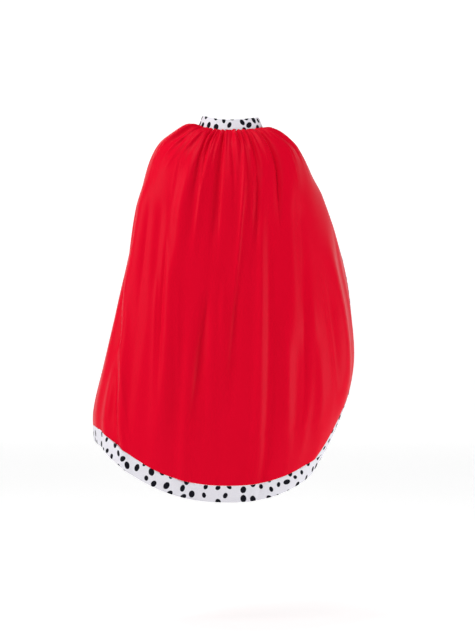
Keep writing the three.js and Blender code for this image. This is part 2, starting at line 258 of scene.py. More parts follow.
def waves_of(values, waves):
    """A sum of waves over the values, each given by its height, pace and start."""
    return sum(height * np.sin(pace * values + start) for height, pace, start in waves)


# The gathers aren't quite evenly spaced.
SPACING_WAVES = ((0.012, 9, 1), (0.006, 23, 0))


def across_of(gather):
    even = -1 + 2 * gather / GATHER_COUNT
    return even + (1 - even * even) * waves_of(even, SPACING_WAVES)


# A sharp crease has a blunt tip and steep sides. A soft fold is a rounded hump.
SHARP_STEEP = 1.8
SHARP_TIP = 0.05
SHARP_TIP_LEVEL = 0.22


def fold_shape(away, sharp):
    if sharp:
        return np.exp(-SHARP_STEEP * (np.sqrt(away * away + SHARP_TIP) - SHARP_TIP_LEVEL))
    return np.exp(-away * away)


def fold_lift(folds, down, across, sharp):
    """The height of all folds, each fading in over a quarter of its run and out over half of it."""
    half = side_value("length", down, 1)
    place = across * side_value("length", down, across) / half
    lift = np.zeros(place.shape)
    for at, to, start, till, wide, out in folds:
        t = (down - start) / (till - start)
        shape = fold_shape((place - (at + (to - at) * t)) * half / wide, sharp)
        ends = smooth(4 * t) * smooth(2 * (1 - t))
        lift += np.where((t > 0) & (t < 1), out * ends * shape, 0)
    return lift


def level(point):
    return unit(point * np.array([1.0, 1.0, 0.0]))


def square_to_neckband(point):
    return level(point) * math.cos(LEAN_ANGLE) + UP * math.sin(LEAN_ANGLE)


def lap_shift(angle):
    return LAP_STEP * smooth((angle - 180 + LAP_EASE_ANGLE) / (LAP_EASE_ANGLE - LAP_ANGLE))


# Finer folds, which only this script has.
# Creases seen in the photo: place at the upper and lower end, how far down each runs, its width and
# its height. The deep lines by the neck come first, then the pulls over the shoulders, then the long
# lines of the lower cloth.
CREASES = (
    (0.048, 0.062, -30, 330, 4, -4.2), (0.03, 0.035, -30, 120, 3.5, 2.6),
    (0.125, 0.185, 0, 300, 4.5, 3.0), (0.11, 0.165, -30, 170, 4.5, -3.4),
    (0.185, 0.205, -30, 190, 6, -4.0), (0.075, 0.11, -20, 150, 4, 2.2),
    (-0.118, -0.012, 10, 430, 4.5, 4.4), (-0.16, -0.105, 10, 320, 4, 4.0),
    (-0.135, -0.1, -10, 210, 4, -2.6), (-0.2, -0.132, -30, 330, 4.5, -4.0),
    (-0.19, -0.1, 50, 820, 9, 2.2), (-0.345, -0.265, -30, 280, 5, -6.0),
    (-0.285, -0.25, -30, 140, 4.5, 2.4), (-0.25, -0.23, -30, 110, 4, -2.2),
    (-0.045, -0.03, -30, 160, 4, -2.2), (-0.07, -0.06, -30, 130, 4, 2.0),
    (0.38, 0.54, -20, 140, 3.2, 5.0), (0.34, 0.505, -20, 120, 4.5, -2.6),
    (0.29, 0.46, -20, 135, 3.2, 5.0), (0.25, 0.4, -20, 115, 4.5, -2.4),
    (0.22, 0.34, -20, 115, 3.2, 4.0), (-0.4, -0.47, -20, 130, 4, 2.4),
    (-0.44, -0.53, -20, 140, 4.5, -2.4), (-0.52, -0.6, -20, 120, 4, 2.2),
    (0.335, 0.285, 250, 660, 6, -4.2), (0.37, 0.3, 320, 700, 8, 2.2),
    (0.6, 0.34, 370, 840, 5, 2.5), (0.09, 0.165, 330, 700, 9, -2.6),
    (0.02, 0.045, 320, 560, 9, 2.4), (-0.05, 0.02, 320, 640, 8, -2.4),
    (-0.22, -0.15, 350, 860, 14, -2.4), (-0.37, -0.3, 370, 780, 13, -3.0),
    (0.47, 0.44, 190, 480, 14, -3.2), (0.25, 0.2, 330, 640, 12, 2.4),
)
# Broad folds seen in the photo, in the same columns. The first one ends the deepest trough early.
BROAD_FOLDS = (
    (0.0742, 0.12, 200, 560, 9, 5.0), (0.2, 0.315, 50, 440, 18, 5.0),
    (0.3, 0.25, 300, 840, 22, 4.5), (0.54, 0.53, 150, 500, 34, 10.0),
    (-0.45, -0.39, 50, 230, 24, 5.5), (0.1, 0.15, 340, 720, 10, -4.0),
    (0.655, 0.405, 350, 900, 20, -9.0), (0.17, 0.17, 400, 900, 12, 3.4),
    (-0.3, -0.2, 330, 800, 15, 2.6), (-0.42, -0.34, 420, 800, 15, -3.0),
    (-0.78, -0.74, 150, 380, 50, 7.0), (0.07, 0.08, 400, 780, 12, 3.2),
    (-0.04, 0.0, 350, 700, 10, -3.2), (0.02, 0.02, 340, 620, 9, 3.0),
    (0.39, 0.36, 180, 460, 14, -4.0),
)

# Folds drawn by chance, with the ranges that their lengths, heights and widths are drawn from.
LINE_COUNT = 44
LINE_REACH = 0.97
LINE_JITTER = 0.45
LINE_START = -20
LINE_TILL = (60, 260)
LINE_OUT = (0.5, 1.5)
LINE_WIDE = (3.5, 6)
WAVE_COUNT = 24
WAVE_REACH = 0.95
WAVE_JITTER = 0.35
WAVE_START = (180, 420)
WAVE_OUT = (1.2, 2.8)
WAVE_TILL = (700, 1100)
WAVE_WIDE = (11, 22)
FOLD_LEAN = (-0.03, 0.03)
rng = np.random.default_rng(11)


def drawn_place(i, count, reach, jitter):
    """The place of one fold in a count spread evenly from side to side, moved a little by chance."""
    return -reach + 2 * reach * (i + 0.5 + jitter * rng.uniform(-1, 1)) / count


def drawn_height(low, high):
    """The height of a ridge, or of a trough as often."""
    return rng.uniform(low, high) * rng.choice([-1, 1])


def fine_lines():
    """Small creases that run down from the neck at uneven lengths, ridges and troughs mixed."""
    rows = []
    for i in range(LINE_COUNT):
        at = drawn_place(i, LINE_COUNT, LINE_REACH, LINE_JITTER)
        till = rng.uniform(*LINE_TILL)
        out = drawn_height(*LINE_OUT)
        to = at + rng.uniform(*FOLD_LEAN)
        rows.append((at, to, LINE_START, till, rng.uniform(*LINE_WIDE), out))
    return rows


def soft_waves():
    """Broad, low waves over the lower cloth."""
    rows = []
    for i in range(WAVE_COUNT):
        at = drawn_place(i, WAVE_COUNT, WAVE_REACH, WAVE_JITTER)
        start = rng.uniform(*WAVE_START)
        out = drawn_height(*WAVE_OUT)
        till = rng.uniform(*WAVE_TILL)
        to = at + rng.uniform(*FOLD_LEAN)
        rows.append((at, to, start, till, rng.uniform(*WAVE_WIDE), out))
    return rows


SHARP_FOLDS = CREASES + tuple(fine_lines())
SOFT_FOLDS = BROAD_FOLDS + tuple(soft_waves())

# How the gathers' heights and lengths vary round the neck.
SIZE_MEAN = 0.66
SIZE_WAVES = ((0.3, 2.9, 0), (0.22, 1.3, 1))
RUN_MEAN = 0.62
RUN_WAVES = ((0.3, 2.3, 0.5), (0.15, 5.1, 0))
STRETCHED_PLACE = 0.44
STRETCHED_REACH = 0.2
STRETCHED_BY_DOWN = 16.0
STRETCHED_LESS = 0.85
MIDDLE_REACH = 0.3
MIDDLE_MORE = 0.25
MIDDLE_LONGER = 0.45


def gather_size(down, gather):
    """Height of each gather: uneven, soon fading, and calm where the shoulders stretch the cloth."""
    opened = GATHER_AT_SEAM + (GATHER_HEIGHT - GATHER_AT_SEAM) * smooth(down / GATHER_OPENS_BY)
    uneven = SIZE_MEAN + waves_of(gather, SIZE_WAVES)
    run = GATHER_RUN * (RUN_MEAN + waves_of(gather, RUN_WAVES))
    place = np.abs(across_of(gather))
    near_shoulder = np.exp(-((place - STRETCHED_PLACE) / STRETCHED_REACH) ** 2)
    stretched = near_shoulder * smooth(down / STRETCHED_BY_DOWN)
    middle = np.exp(-((place / MIDDLE_REACH) ** 2))
    size = opened * uneven * (1 - STRETCHED_LESS * stretched + MIDDLE_MORE * middle)
    return size * np.exp(-((down / (run * (1 + MIDDLE_LONGER * middle))) ** 2))


WANDER = 0.9
WANDER_PACE = 0.031
WANDER_SHIFT = 2.1
WANDER_BY_DOWN = 50.0
NARROW_TROUGH = 0.3
TROUGH_WANDER = 1.7
TROUGH_SHIFT = 0.6
RIPPLE = 0.2
RIPPLE_SHIFT = 1.3


def gather_wave(down, gather):
    """The gathers' section, with narrow troughs, and lines that wander as they run down."""
    turn = 2 * np.pi * gather
    wander = WANDER * np.sin(WANDER_PACE * down + WANDER_SHIFT * gather)
    wander = wander * smooth(down / WANDER_BY_DOWN)
    trough = np.cos(2 * turn + TROUGH_WANDER * wander + TROUGH_SHIFT)
    wave = np.cos(turn + wander) - NARROW_TROUGH * trough
    return wave + RIPPLE * np.sin(3 * turn + RIPPLE_SHIFT * gather)


EDGE_CALM = 0.06
HEM_CALM_FROM = 30.0
HEM_CALM_RUN = 60.0
CREASES_FROM = -12.0
CREASES_RUN = 30.0
SOFT_FOLDS_RUN = 90.0
PUCKER_HEIGHT = 0.35
PUCKER_RUN = 14.0
PUCKERS_PER_GATHER = 4.5
PUCKER_UNEVEN = 2
SEAM_CALM = 3.0


def detail_lift(down, across, gather):
    """Gathers, creases, broad folds and the puckers of the hem seam, calm along the front edges."""
    turn = 2 * np.pi * gather
    lift = gather_size(down, gather) * gather_wave(down, gather)
    calm = smooth((1 - np.abs(across)) / EDGE_CALM)
    hem_calm = smooth((HEM_DOWN - HEM_CALM_FROM - down) / HEM_CALM_RUN)
    creases = fold_lift(SHARP_FOLDS, down, across, True)
    lift += calm * hem_calm * creases * smooth((down - CREASES_FROM) / CREASES_RUN)
    lift += calm * fold_lift(SOFT_FOLDS, down, across, False) * smooth(down / SOFT_FOLDS_RUN)
    above_seam = np.maximum(HEM_DOWN - BAND_WIDTH - down, 0)
    pucker = np.sin(PUCKERS_PER_GATHER * turn + PUCKER_UNEVEN * np.sin(turn))
    pucker = pucker * np.exp(-above_seam / PUCKER_RUN) * smooth(above_seam / SEAM_CALM)
    return lift + calm * PUCKER_HEIGHT * pucker


def cloth_point(down, across, inset, gather=None):
    """The middle of the cloth's thickness. inset is the width kept free inside the front edge."""
    inside = side_value("length", down, across) - inset * side_value("slant", down, across)
    along = across * inside
    lift = fold_lift(FOLDS, down, across, False)
    if gather is not None:
        lift = lift + detail_lift(down, across, gather)
    outward = unit(UP + (outward_at(down, along) - UP) * smooth(down / GATHER_OPENS_BY)[..., None])
    point = smooth_point(down, along)
    lapped = lap_shift(angle_at(down, along)) * (1 - smooth(down / LAP_FADE_DOWN))
    return point + square_to_neckband(point) * lapped[..., None] + outward * lift[..., None]


CELL_STEP = 2.0


def cloth_cells(down, across, inset, gather=None):
    """Points with the direction down the cloth at each."""
    upper = cloth_point(np.maximum(down - CELL_STEP, 0), across, inset, gather)
    lower = cloth_point(np.minimum(down + CELL_STEP, HEM_DOWN), across, inset, gather)
    return cloth_point(down, across, inset, gather), lower - upper


def above_hem(across, inset, gather, width):
    """How far down each column lies a given width of cloth, square to the hem, above its edge."""
    full = np.full(across.shape, HEM_DOWN)
    guess = full - width
    run = cloth_point(full, across, inset, gather) - cloth_point(guess, across, inset, gather)
    inside = side_value("length", full, across) - inset * side_value("slant", full, across)
    slant = slant_between(run, along_ring(full, across * inside))
    return full - width * width * slant / np.linalg.norm(run, axis=-1)


# Meshes.
def outward_of(points, downwards, top_upright=False):
    across = np.empty_like(points)
    across[:, 1:-1] = points[:, 2:] - points[:, :-2]
    across[:, 0] = points[:, 1] - points[:, 0]
    across[:, -1] = points[:, -1] - points[:, -2]
    out = unit(np.cross(across, downwards))
    if top_upright:
        out[0] = UP
    return out


def shell_faces(rows, columns):
    """The faces of a closed shell on two grids, outside first and then inside, and its rim."""
    count = rows * columns
    index = np.arange(count).reshape(rows, columns)
    a, b = index[:-1, :-1].ravel(), index[:-1, 1:].ravel()
    c, d = index[1:, 1:].ravel(), index[1:, :-1].ravel()
    outside = np.stack([a, b, c, d], 1)
    inside = np.stack([a, d, c, b], 1) + count
    rim = np.concatenate([index[0], index[1:, -1], index[-1, -2::-1], index[-2:0:-1, 0]])
    ahead = np.roll(rim, -1)
    sides = np.stack([rim, rim + count, ahead + count, ahead], 1)
    return np.concatenate([outside, inside, sides]), rim


def sharpen_rim(mesh, rim, count):
    """Both edges of a shell's rim are sharp."""
    edges = np.empty(len(mesh.edges) * 2, np.int32)
    mesh.edges.foreach_get("vertices", edges)
    edges = np.sort(edges.reshape(-1, 2), 1)
    pairs = np.sort(np.stack([rim, np.roll(rim, -1)], 1), 1)
    pairs = np.concatenate([pairs, pairs + count])
    edge_key = edges[:, 0].astype(np.int64) * 2 * count + edges[:, 1]
    pair_key = pairs[:, 0].astype(np.int64) * 2 * count + pairs[:, 1]
    sharp = mesh.attributes.new("sharp_edge", "BOOLEAN", "EDGE")
    sharp.data.foreach_set("value", np.isin(edge_key, pair_key))


def add_uv(mesh, name, corners):
    layer = mesh.uv_layers.new(name=name)
    layer.data.foreach_set("uv", corners.astype(np.float32).ravel())


def shell(name, outer, inner, flat, materials, spot_frame=None):
    """A closed shell between two grids of points, rows running down and columns right to left.

    flat is each point's place on the flat cut, which the weave and nap follow. The first material
    is the outside's, the second the inside's.
    """
    rows, columns = outer.shape[:2]
    faces, rim = shell_faces(rows, columns)
    points = np.concatenate([outer.reshape(-1, 3), inner.reshape(-1, 3)]) * MM
    mesh = bpy.data.meshes.new(name)
    mesh.from_pydata(points.tolist(), [], faces.tolist())
    one_side = (rows - 1) * (columns - 1)
    which = np.zeros(len(faces), np.int32)
    which[one_side:2 * one_side] = 1
    mesh.polygons.foreach_set("material_index", which)
    mesh.polygons.foreach_set("use_smooth", np.ones(len(faces), bool))
    sharpen_rim(mesh, rim, rows * columns)
    corner_flat = np.concatenate([flat.reshape(-1, 2)] * 2)[faces]
    add_uv(mesh, "cloth", corner_flat * MM)
    if spot_frame is not None:
        add_uv(mesh, "spots", spot_frame(corner_flat))
    for material in materials:
        mesh.materials.append(material)
    obj = bpy.data.objects.new(name, mesh)
    bpy.context.scene.collection.objects.link(obj)
    return obj


# Spots: upright ovals of mixed size strewn over a band's flat cut, none close to another.
SPOT_LONG = 7.0
SPOT_ROUND = 5.2
SPOT_ROOM = 16.2
SPOT_TRIES = 2.3
NECK_SPOT_ROOM = 15.5
NECK_SPOT_TRIES = 40
SPOT_SIZES = (0.74, 1.16)
SPOT_SLIMNESS = (0.86, 1.1)
SPOT_LEAN = 0.55
CHUNK = 4000


def strew_spots(low, high, room, tries, seed):
    """Places, half lengths, half widths and tilts of spots on a flat strip, by dart throwing."""
    dice = np.random.default_rng(seed)
    width, height = high - low
    darts = int(width * height / room ** 2 * tries)
    kept = np.empty((0, 2))
    for place in dice.uniform(low, high, (darts, 2)):
        if not len(kept) or np.min(np.linalg.norm(kept - place, axis=1)) > room:
            kept = np.vstack([kept, place])
    size = dice.uniform(*SPOT_SIZES, len(kept))
    slim = dice.uniform(*SPOT_SLIMNESS, len(kept))
    tilt = np.pi / 2 + SPOT_LEAN * dice.normal(0, 1, len(kept))
    return kept, SPOT_LONG * size, SPOT_ROUND * size * slim, tilt


def spot_frame_for(low, high, room, tries, seed):
    """A function that gives each face's corners in the frame of the spot nearest to that face."""
    low, high = np.array(low, float), np.array(high, float)
    places, half_length, half_width, tilt = strew_spots(low, high, room, tries, seed)
    cosine, sine = np.cos(tilt), np.sin(tilt)

    def local(corners):
        found = np.empty_like(corners)
        for start in range(0, len(corners), CHUNK):
            part = corners[start:start + CHUNK]
            middle = part.mean(1)
            n = np.argmin(((middle[:, None] - places[None]) ** 2).sum(2), 1)
            away = part - places[n][:, None]
            c, s = cosine[n][:, None], sine[n][:, None]
            along = (away[..., 0] * c + away[..., 1] * s) / half_length[n][:, None]
            aside = (away[..., 1] * c - away[..., 0] * s) / half_width[n][:, None]
            found[start:start + CHUNK] = np.stack([along, aside], -1)
        return found

    return local


# Materials.
def new_material(name):
    material = bpy.data.materials.new(name)
    material.use_nodes = True
    tree = material.node_tree
    shader = tree.nodes["Principled BSDF"]
    return material, tree, shader


def node(tree, kind, **values):
    made = tree.nodes.new(kind)
    for name, value in values.items():
        if name in made.inputs:
            made.inputs[name].default_value = value
        else:
            setattr(made, name, value)
    return made


def link(tree, source, target):
    tree.links.new(source, target)


def feed(tree, value, socket):
    """Links a node's output to a socket, or sets the socket to a plain value."""
    if hasattr(value, "is_linked"):
        link(tree, value, socket)
    else:
        socket.default_value = value


def noise(tree, vector, scale, detail=3.0, roughness=0.5):
    made = node(tree, "ShaderNodeTexNoise", Scale=scale, Detail=detail, Roughness=roughness)
    link(tree, vector, made.inputs["Vector"])
    return made.outputs["Fac"]


def between(tree, fac, low, high):
    """A factor from 0 to 1 spread over a range of numbers."""
    made = node(tree, "ShaderNodeMapRange", **{"To Min": low, "To Max": high})
    link(tree, fac, made.inputs["Value"])
    return made.outputs["Result"]


def mix_colour(tree, fac, first, second):
    made = tree.nodes.new("ShaderNodeMix")
    made.data_type = "RGBA"
    sockets = {"Factor": fac, "A": first, "B": second}
    for socket in made.inputs:
        if socket.enabled and socket.name in sockets:
            feed(tree, sockets[socket.name], socket)
    return next(s for s in made.outputs if s.enabled)


def math_node(tree, operation, *values):
    made = node(tree, "ShaderNodeMath", operation=operation)
    for socket, value in zip(made.inputs, values):
        feed(tree, value, socket)
    return made.outputs["Value"]


def add(tree, first, second):
    return math_node(tree, "ADD", first, second)


def times(tree, first, second):
    return math_node(tree, "MULTIPLY", first, second)


def uv(tree, name):
    return node(tree, "ShaderNodeUVMap", uv_map=name).outputs["UV"]


def bump(tree, shader, height, strength, distance):
    made = node(tree, "ShaderNodeBump", Strength=strength, Distance=distance)
    link(tree, height, made.inputs["Height"])
    link(tree, made.outputs["Normal"], shader.inputs["Normal"])


# Satin. Scales are features to the metre of cloth.
RED_LIGHT = (0.660, 0.0010, 0.0206, 1)
RED_DEEP = (0.600, 0.0008, 0.0150, 1)
RED_INSIDE_LIGHT = (0.540, 0.0014, 0.0160, 1)
RED_INSIDE_DEEP = (0.480, 0.0010, 0.0130, 1)
SATIN_ROUGH = 0.36
SATIN_INSIDE_ROUGH = 0.62
SATIN_ROUGH_LESS = 0.06
SATIN_ROUGH_MORE = 0.08
SATIN_GLOSS = 0.03
SATIN_CLOUDS = 9.0
CLOUD_SHARE = 0.7
THREAD_STRETCH = (900.0, 40.0, 1.0)
THREAD_SHARE = 0.3
WEAVE_PITCH = 0.45 * MM
WEAVE_SHARE = 0.5
SATIN_BUMP = 0.25
SATIN_BUMP_HEIGHT = 0.00008


def thread_streaks(tree, place):
    """Streaks that run down the cloth, as the uneven threads of a satin do."""
    stretched = node(tree, "ShaderNodeMapping", Scale=THREAD_STRETCH)
    link(tree, place, stretched.inputs["Vector"])
    return noise(tree, stretched.outputs["Vector"], 1.0, 2.0)


def weave_height(tree, place):
    """The fine grid of a weave, from a wave across the cloth and one down it."""
    split = node(tree, "ShaderNodeSeparateXYZ")
    link(tree, place, split.inputs["Vector"])
    turns = [times(tree, split.outputs[axis], 2 * math.pi / WEAVE_PITCH) for axis in "XY"]
    across, down = [math_node(tree, "SINE", turn) for turn in turns]
    return times(tree, across, down)


def satin(name, light, deep, rough):
    """Polyester satin: uneven threads on a fine weave, a little cloudy in colour."""
    material, tree, shader = new_material(name)
    place = uv(tree, "cloth")
    clouds = noise(tree, place, SATIN_CLOUDS)
    threads = thread_streaks(tree, place)
    blend = add(tree, times(tree, clouds, CLOUD_SHARE), times(tree, threads, THREAD_SHARE))
    link(tree, mix_colour(tree, blend, light, deep), shader.inputs["Base Color"])
    spread = between(tree, threads, rough - SATIN_ROUGH_LESS, rough + SATIN_ROUGH_MORE)
    link(tree, spread, shader.inputs["Roughness"])
    height = add(tree, times(tree, weave_height(tree, place), WEAVE_SHARE), threads)
    bump(tree, shader, height, SATIN_BUMP, SATIN_BUMP_HEIGHT)
    shader.inputs["Specular IOR Level"].default_value = SATIN_GLOSS
    return material


# Plush.
PLUSH_LIGHT = (0.74, 0.73, 0.77, 1)
PLUSH_DEEP = (0.57, 0.56, 0.62, 1)
PLUSH_SPREAD = (-0.4, 1.2)
PLUSH_ROUGH = (0.82, 0.98)
PLUSH_GLOSS = 0.04
PLUSH_SHEEN = 0.03
PLUSH_SHEEN_ROUGH = 0.6
TUFTS = 420.0
TUFT_SHARE = 0.65
FIBRES = 1500.0
FIBRE_SHARE = 0.5
BRUSHED = 38.0
BRUSHED_SHARE = 0.35
NAP_ROUGHNESS = 0.6
PLUSH_BUMP = 0.6
PLUSH_BUMP_HEIGHT = 0.0006
SPOT_DARK = (0.002, 0.002, 0.004, 1)
SPOT_WORN = (0.008, 0.008, 0.014, 1)
SPOT_RAGGED = 0.22
SPOT_EDGE = {"From Min": 0.96, "From Max": 1.05, "To Min": 1.0, "To Max": 0.0}


def spot_ink(tree, tufts):
    """1 on a printed spot and 0 beside it, with an edge that the tufts make ragged."""
    spot = node(tree, "ShaderNodeVectorMath", operation="LENGTH")
    link(tree, uv(tree, "spots"), spot.inputs[0])
    ragged = times(tree, math_node(tree, "SUBTRACT", tufts, 0.5), SPOT_RAGGED)
    edge = node(tree, "ShaderNodeMapRange", interpolation_type="SMOOTHSTEP", **SPOT_EDGE)
    link(tree, add(tree, spot.outputs["Value"], ragged), edge.inputs["Value"])
    return edge.outputs["Result"]


def plush(name):
    """Short plush nap, brushed unevenly and printed with ovals."""
    material, tree, shader = new_material(name)
    place = uv(tree, "cloth")
    tufts = noise(tree, place, TUFTS, 3.0, NAP_ROUGHNESS)
    fibres = noise(tree, place, FIBRES, 2.0, NAP_ROUGHNESS)
    brushed = noise(tree, place, BRUSHED, 2.0)
    shade = add(tree, times(tree, tufts, TUFT_SHARE), times(tree, brushed, BRUSHED_SHARE))
    nap = mix_colour(tree, between(tree, shade, *PLUSH_SPREAD), PLUSH_LIGHT, PLUSH_DEEP)
    ink = mix_colour(tree, fibres, SPOT_DARK, SPOT_WORN)
    colour = mix_colour(tree, spot_ink(tree, tufts), nap, ink)
    link(tree, colour, shader.inputs["Base Color"])
    link(tree, between(tree, fibres, *PLUSH_ROUGH), shader.inputs["Roughness"])
    height = add(tree, tufts, times(tree, fibres, FIBRE_SHARE))
    bump(tree, shader, height, PLUSH_BUMP, PLUSH_BUMP_HEIGHT)
    shader.inputs["Specular IOR Level"].default_value = PLUSH_GLOSS
    shader.inputs["Sheen Weight"].default_value = PLUSH_SHEEN
    shader.inputs["Sheen Roughness"].default_value = PLUSH_SHEEN_ROUGH
    return material


# Hook and loop tape.
TAPE_LIGHT = (0.86, 0.86, 0.87, 1)
TAPE_DEEP = (0.70, 0.70, 0.72, 1)
TAPE_ROUGH = (0.7, 0.95)
TAPE_BUMP = 0.8
TAPE_BUMP_HEIGHT = 0.0004
LOOPS = 1400.0
HOOKS = 2600.0


def hook_and_loop(name, scale):
    material, tree, shader = new_material(name)
    place = node(tree, "ShaderNodeTexCoord").outputs["Object"]
    fuzz = noise(tree, place, scale, 3.0, 0.7)
    link(tree, mix_colour(tree, fuzz, TAPE_LIGHT, TAPE_DEEP), shader.inputs["Base Color"])
    link(tree, between(tree, fuzz, *TAPE_ROUGH), shader.inputs["Roughness"])
    bump(tree, shader, fuzz, TAPE_BUMP, TAPE_BUMP_HEIGHT)
    return material


satin_outside = satin("satin_outside", RED_LIGHT, RED_DEEP, SATIN_ROUGH)
satin_inside = satin("satin_inside", RED_INSIDE_LIGHT, RED_INSIDE_DEEP, SATIN_INSIDE_ROUGH)
plush_spotted = plush("plush_spotted")
loop_tape = hook_and_loop("loop_tape", LOOPS)
hook_tape = hook_and_loop("hook_tape", HOOKS)


# Pieces.
def finished(obj, node_name):
    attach(obj, "root")
    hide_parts(node_name)
    return obj


RED_ROWS = 132
RED_PER_GATHER = 10
NECK_CROWD = 1.55
GATHERED_IN = 110.0


def red_cloth():
    columns = GATHER_COUNT * RED_PER_GATHER
    gather = np.arange(columns + 1) / RED_PER_GATHER
    across = across_of(gather)
    inset = np.full(across.shape, BAND_WIDTH + SEAM_GAP)
    ends = above_hem(across, inset, gather, BAND_WIDTH + SEAM_GAP)
    shares = np.linspace(0, 1, RED_ROWS + 1) ** NECK_CROWD
    down = shares[:, None] * ends
    wide = [np.broadcast_to(v, down.shape) for v in (across, inset, gather)]
    points, downwards = cloth_cells(down, *wide)
    out = outward_of(points, downwards, True) * CLOTH_THICK / 2
    half = side_value("length", down, wide[0]) + GATHERED_IN * np.exp(-down / GATHER_RUN)
    flat = np.stack([half * across, down], -1)
    obj = shell("red_satin_panel", points + out, points - out, flat, [satin_outside, satin_inside])
    return finished(obj, "cape_cloth")


BAND_STEPS = 18
BAND_LENGTH_STEP = 3.0
BAND_ROLL = 0.16
EDGE_THINNING = 0.9


def pile(share, thick, roll):
    """Half a band's thickness by the place across its width, rounded at both edges."""
    near = np.clip(np.minimum(share, 1 - share) / roll, 0, 1)
    return thick / 2 * np.sqrt(1 - (1 - near) ** 2 * EDGE_THINNING)


def eased(count):
    """Shares from 0 to 1, closer together at both ends."""
    t = np.linspace(0, 1, count + 1)
    return 0.5 * t + 0.5 * smooth(t)


def run_along(points, direction, axis):
    """Each point's length along a band, whose grid lines may slant across it."""
    cross = 1 - axis
    first = np.take(points, [0], axis=cross)
    steps = np.linalg.norm(np.diff(first, axis=axis), axis=2)
    start = np.zeros_like(np.take(steps, [0], axis=axis))
    base = np.concatenate([start, np.cumsum(steps, axis)], axis)
    ahead = np.take(direction, range(1, points.shape[cross]), cross)
    drift = (np.diff(points, axis=cross) * ahead).sum(2)
    return base + np.concatenate([np.zeros_like(base), np.cumsum(drift, cross)], cross)


SPOT_MARGIN = 4
RIGHT_SEED = 3
LEFT_SEED = 4


def front_band(name, node_name, sign, seed):
    shares = eased(BAND_STEPS)
    inset = BAND_WIDTH * (shares if sign < 0 else 1 - shares)
    across = np.full(inset.shape, float(sign))
    ends = above_hem(across, inset, None, BAND_WIDTH + SEAM_GAP)
    count = int(ends.mean() / BAND_LENGTH_STEP)
    down = np.linspace(0, 1, count + 1)[:, None] * ends
    wide = [np.broadcast_to(v, down.shape) for v in (across, inset)]
    points, downwards = cloth_cells(down, *wide)
    half = pile(shares, BAND_THICK, BAND_ROLL)
    out = outward_of(points, downwards, True) * half[None, :, None]
    run = run_along(points, unit(downwards), 0)
    flat = np.stack([np.broadcast_to(inset, down.shape), run], -1)
    low = (-SPOT_MARGIN, run.min() - SPOT_MARGIN)
    high = (BAND_WIDTH + SPOT_MARGIN, run.max() + SPOT_MARGIN)
    spots = spot_frame_for(low, high, SPOT_ROOM, SPOT_TRIES, seed)
    both = [plush_spotted, plush_spotted]
    obj = shell(name, points + out, points - out, flat, both, spots)
    return finished(obj, node_name)


HEM_SEED = 33
CORNER_POINTS = 13


def hem_band():
    gather = np.arange(GATHER_COUNT * RED_PER_GATHER + 1) / RED_PER_GATHER
    red_across = across_of(gather)
    edge = np.linspace(0, BAND_WIDTH, CORNER_POINTS)
    across = np.concatenate([-np.ones(CORNER_POINTS), red_across, np.ones(CORNER_POINTS)])
    inset = np.concatenate([edge, np.full(red_across.shape, BAND_WIDTH + SEAM_GAP), edge[::-1]])
    top = above_hem(across, inset, None, BAND_WIDTH)
    shares = eased(BAND_STEPS)
    down = top + (HEM_DOWN - top) * shares[:, None]
    wide = [np.broadcast_to(v, down.shape) for v in (across, inset)]
    points, downwards = cloth_cells(down, *wide)
    half = pile(shares, BAND_THICK, BAND_ROLL)
    out = outward_of(points, downwards) * half[:, None, None]
    width = np.broadcast_to(BAND_WIDTH * shares[:, None], down.shape)
    run = run_along(points, unit(np.gradient(points, axis=1)), 1)
    flat = np.stack([run, width], -1)
    low = (run.min() - SPOT_MARGIN, -SPOT_MARGIN)
    high = (run.max() + SPOT_MARGIN, BAND_WIDTH + SPOT_MARGIN)
    spots = spot_frame_for(low, high, SPOT_ROOM, SPOT_TRIES, HEM_SEED)
    both = [plush_spotted, plush_spotted]
    obj = shell("plush_hem_band", points + out, points - out, flat, both, spots)
    return finished(obj, "hem_band")


def neckband_point(angle, height):
    turned = np.where(np.abs(angle) > 180, angle - np.sign(angle) * 360, angle)
    point = on_ring(ring_at(np.zeros(angle.shape)), turned)
    lean_in = COLLAR_LEAN * height / COLLAR_HEIGHT
    inside = COLLAR_THICK / 2 / math.cos(LEAN_ANGLE) + SEAM_GAP + lean_in
    lap = square_to_neckband(point) * lap_shift(angle)[..., None]
    return point - level(point) * inside[..., None] + lap + UP * height[..., None]


NECK_COLUMNS = 220
NECK_ROWS = 14
NECK_ROLL = 0.2
NECK_SEED = 8
NECK_SPOTS_TO = 28.0


def neckband():
    end = 180 + LAP_ANGLE
    shares = eased(NECK_ROWS)
    angle = np.linspace(-end, end, NECK_COLUMNS + 1)[None]
    height = COLLAR_HEIGHT + (-COLLAR_BELOW_SEAM - COLLAR_HEIGHT) * shares[:, None]
    angle, height = np.broadcast_arrays(angle, height)
    points = neckband_point(angle, height)
    downwards = neckband_point(angle, height - 1) - neckband_point(angle, height + 1)
    half = pile(shares, COLLAR_THICK, NECK_ROLL)
    out = outward_of(points, downwards) * half[:, None, None]
    steps = np.linalg.norm(np.diff(points[-1], axis=0), axis=1)
    run = np.concatenate([[0], np.cumsum(steps)])
    flat = np.stack([np.broadcast_to(run, angle.shape), COLLAR_HEIGHT - height], -1)
    low = (-SPOT_MARGIN, -SPOT_MARGIN)
    high = (run[-1] + SPOT_MARGIN, NECK_SPOTS_TO)
    spots = spot_frame_for(low, high, NECK_SPOT_ROOM, NECK_SPOT_TRIES, NECK_SEED)
    both = [plush_spotted, plush_spotted]
    obj = shell("plush_neckband", points + out, points - out, flat, both, spots)
    return finished(obj, "neckband")


panel = red_cloth()
right_band = front_band("plush_right_front_band", "right_front_band", -1, RIGHT_SEED)
left_band = front_band("plush_left_front_band", "left_front_band", 1, LEFT_SEED)
hem = hem_band()
collar = neckband()

